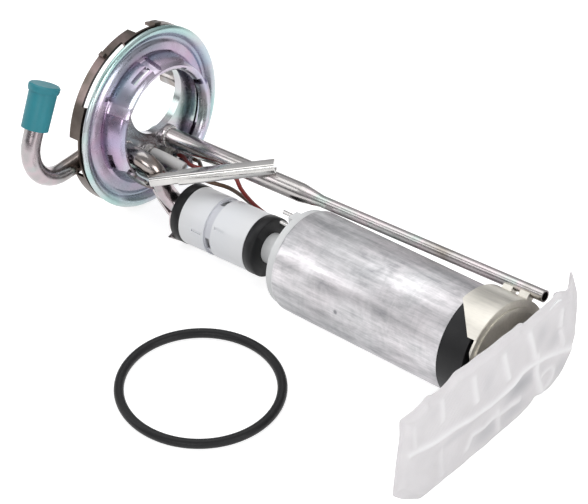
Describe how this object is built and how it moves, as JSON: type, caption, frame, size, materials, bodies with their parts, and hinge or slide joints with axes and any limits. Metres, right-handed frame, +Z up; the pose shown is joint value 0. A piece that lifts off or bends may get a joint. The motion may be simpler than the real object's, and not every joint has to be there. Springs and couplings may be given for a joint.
{
  "type": "electric fuel pump assembly",
  "caption": "In-tank electric fuel pump on a pressed locking flange, with feed and return pipes, pulse damper, bracket, strainer and a loose seal ring.",
  "frame": {"origin": "middle of the bounding box at table height", "axes": "Z is up from the table, +X runs level along the hanger from the flange to the strainer, -Y is the side of the damper and the seal ring"},
  "size_m": [0.2256, 0.1526, 0.0799],
  "materials": {
    "zinc": "iridescent clear zinc",
    "zinc_brown": "satin zinc",
    "pipe_steel": "bright plated",
    "bracket_steel": "satin plated",
    "cap_teal": "soft matt",
    "rubber_black": "satin",
    "plastic_white": "semi gloss",
    "shell_aluminium": "satin drawn",
    "brass": "bright",
    "nylon": "matt",
    "wire_red": "satin",
    "wire_brown": "satin",
    "hose_grey": "satin",
    "core_steel": "laminated",
    "copper": "enamelled",
    "magnet": "matt",
    "carbon": "matt",
    "bronze": "sintered",
    "resin": "matt",
    "sock_fabric": "fine mesh",
    "frame_white": "matt"
  },
  "bodies": {
    "hanger": {"mounting_flange": "zinc", "sender_dish": "zinc", "lock_ring": "zinc_brown", "feed_pipe": "pipe_steel", "feed_tube": "pipe_steel", "return_pipe": "pipe_steel", "return_nipple": "pipe_steel", "brace_channel": "pipe_steel", "damper_bracket": "pipe_steel", "terminal_positive": "brass", "terminal_negative": "brass", "terminal_insulators": "nylon", "vent_hose": "hose_grey", "vent_ferrule": "pipe_steel", "wire_red": "wire_red", "wire_brown": "wire_brown", "boot_inlet": "rubber_black", "boot_outlet": "rubber_black", "damper_housing_inlet": "plastic_white", "damper_housing_outlet": "plastic_white", "damper_bellows": "core_steel", "outlet_cover": "plastic_white", "cover_terminals": "brass", "check_spring": "pipe_steel", "pump_shell": "shell_aluminium", "flux_ring": "core_steel", "magnets": "magnet", "brush_positive": "carbon", "brush_negative": "carbon", "brush_springs": "brass", "top_bearing": "bronze", "bottom_bearing": "bronze", "pump_plate": "shell_aluminium", "inlet_cover": "rubber_black", "rubber_isolator": "rubber_black", "lower_bracket": "bracket_steel", "strainer_frame": "frame_white", "strainer_sock": "sock_fabric", "strainer_clip": "pipe_steel"},
    "rotor": {"armature_core": "core_steel", "windings": "copper", "commutator": "copper", "motor_shaft": "pipe_steel", "impeller": "resin"},
    "dust_cap": {"feed_cap": "cap_teal"},
    "valve": {"check_valve": "resin"},
    "seal_ring": {"o_ring": "rubber_black"}
  },
  "joints": [
    {"name": "motor_spin", "type": "hinge", "parent": "hanger", "child": "rotor", "pos_m": [0.03871, 0.02412, 0.02561], "axis": [0.9929, -0.0436, 0.1106], "continuous": true},
    {"name": "dust_cap_pull", "type": "slide", "parent": "hanger", "child": "dust_cap", "axis": [-0.0972, 0.4787, 0.8726], "range_m": [0, 0.03]},
    {"name": "check_valve_lift", "type": "slide", "parent": "hanger", "child": "valve", "axis": [-0.9939, 0, -0.1107], "range_m": [0, 0.0008], "stiffness_N_per_m": 60},
    {"name": "seal_ring_lift", "type": "slide", "parent": "hanger", "child": "seal_ring", "axis": [0, 0, 1], "range_m": [0, 0.05]}
  ]
}
